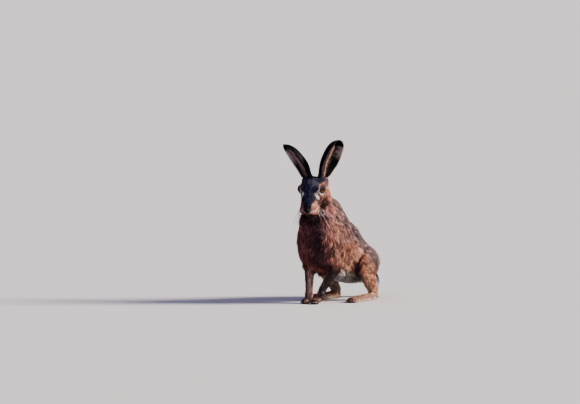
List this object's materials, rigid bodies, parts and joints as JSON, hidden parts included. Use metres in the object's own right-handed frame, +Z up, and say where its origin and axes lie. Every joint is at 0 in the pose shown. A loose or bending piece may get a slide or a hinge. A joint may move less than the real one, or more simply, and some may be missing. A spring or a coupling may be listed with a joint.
{
  "type": "brown hare",
  "caption": "A brown hare that sits upright and alert, its forelegs straight, hind feet flat on the floor, head turned a little to its left and long ears raised.",
  "frame": {"origin": "The middle of the bounding box in plan, on the floor that the feet rest on.", "axes": "+Z is up. The hare faces -Y, so +X is its own left side. Its head is turned from -Y towards +X."},
  "size_m": [0.1848, 0.3302, 0.4393],
  "materials": {
    "coat_grizzled": "grey-brown hair, ticked black and buff",
    "coat_russet": "rufous hair, lying in pointed tufts",
    "coat_ear": "short dark hair with a black tip and a buff front margin",
    "eye": "wet and clear over an amber iris",
    "claw": "dark horn"
  },
  "bodies": {
    "root": {"head": "coat_grizzled", "neck": "coat_grizzled", "rump": "coat_grizzled", "tail": "coat_grizzled", "thigh_left": "coat_grizzled", "thigh_right": "coat_grizzled", "chest": "coat_russet", "belly": "coat_russet", "upper_arm_left": "coat_russet", "upper_arm_right": "coat_russet", "forearm_left": "coat_russet", "forearm_right": "coat_russet", "forepaw_left": "coat_russet", "forepaw_right": "coat_russet", "shank_left": "coat_russet", "shank_right": "coat_russet", "hind_foot_left": "coat_russet", "hind_foot_right": "coat_russet", "ear_left": "coat_ear", "ear_right": "coat_ear", "eye_left": "eye", "eye_right": "eye", "fore_claw_left_1": "claw", "fore_claw_left_2": "claw", "fore_claw_left_3": "claw", "fore_claw_left_4": "claw", "fore_claw_right_1": "claw", "fore_claw_right_2": "claw", "fore_claw_right_3": "claw", "fore_claw_right_4": "claw", "hind_claw_left_1": "claw", "hind_claw_left_2": "claw", "hind_claw_left_3": "claw", "hind_claw_left_4": "claw", "hind_claw_right_1": "claw", "hind_claw_right_2": "claw", "hind_claw_right_3": "claw", "hind_claw_right_4": "claw"}
  },
  "joints": []
}
